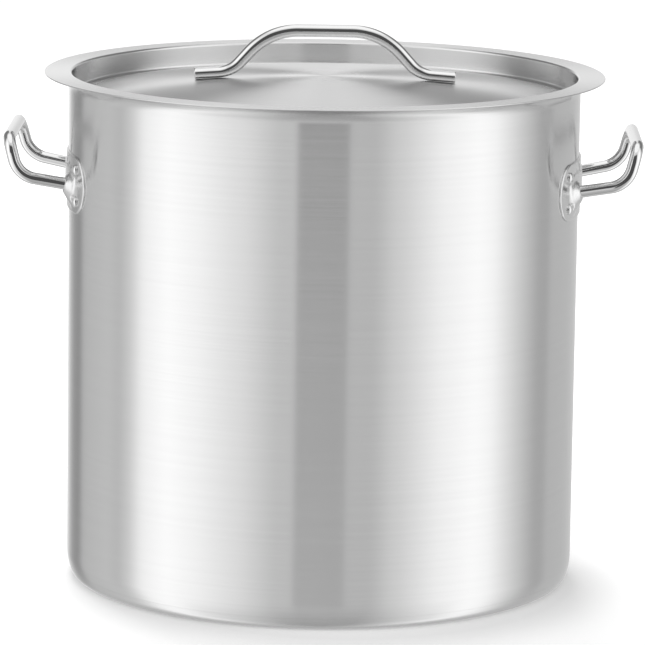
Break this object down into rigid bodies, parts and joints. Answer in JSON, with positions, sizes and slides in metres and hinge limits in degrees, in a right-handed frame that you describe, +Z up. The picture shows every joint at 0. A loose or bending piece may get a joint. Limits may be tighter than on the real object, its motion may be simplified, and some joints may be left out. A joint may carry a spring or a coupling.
{
  "type": "stock pot",
  "caption": "Tall straight-sided stainless steel stock pot with a sandwich base, riveted loop handles and a sunken domed lid with a tube handle.",
  "frame": {"origin": "centre of the face that the pot stands on, at floor level", "axes": "+X along the line through both lift handles, +Y from the side seen in front towards the back, +Z up along the pot's axis"},
  "size_m": [0.496, 0.4384, 0.4378],
  "materials": {
    "brushed_wall": "satin, brushed round the wall",
    "base_steel": "satin, turned in rings",
    "aluminium_core": "plain rolled",
    "pressed_plate": "tumble polished",
    "polished_bar": "mirror polished",
    "polished_tube": "mirror polished",
    "rivet_steel": "polished",
    "weld_metal": "as welded",
    "spun_lid": "satin, spun in rings"
  },
  "bodies": {
    "pot": {"pot_shell": "brushed_wall", "base_core_disc": "aluminium_core", "base_cap": "base_steel", "left_handle_plate": "pressed_plate", "left_handle_bar": "polished_bar", "left_handle_welds": "weld_metal", "left_handle_rivets": "rivet_steel", "right_handle_plate": "pressed_plate", "right_handle_bar": "polished_bar", "right_handle_welds": "weld_metal", "right_handle_rivets": "rivet_steel"},
    "lid": {"lid_shell": "spun_lid", "lid_handle": "polished_tube"}
  },
  "joints": [
    {"name": "lid_lift", "type": "slide", "parent": "pot", "child": "lid", "axis": [0, 0, 1], "range_m": [0, 0.15]}
  ]
}
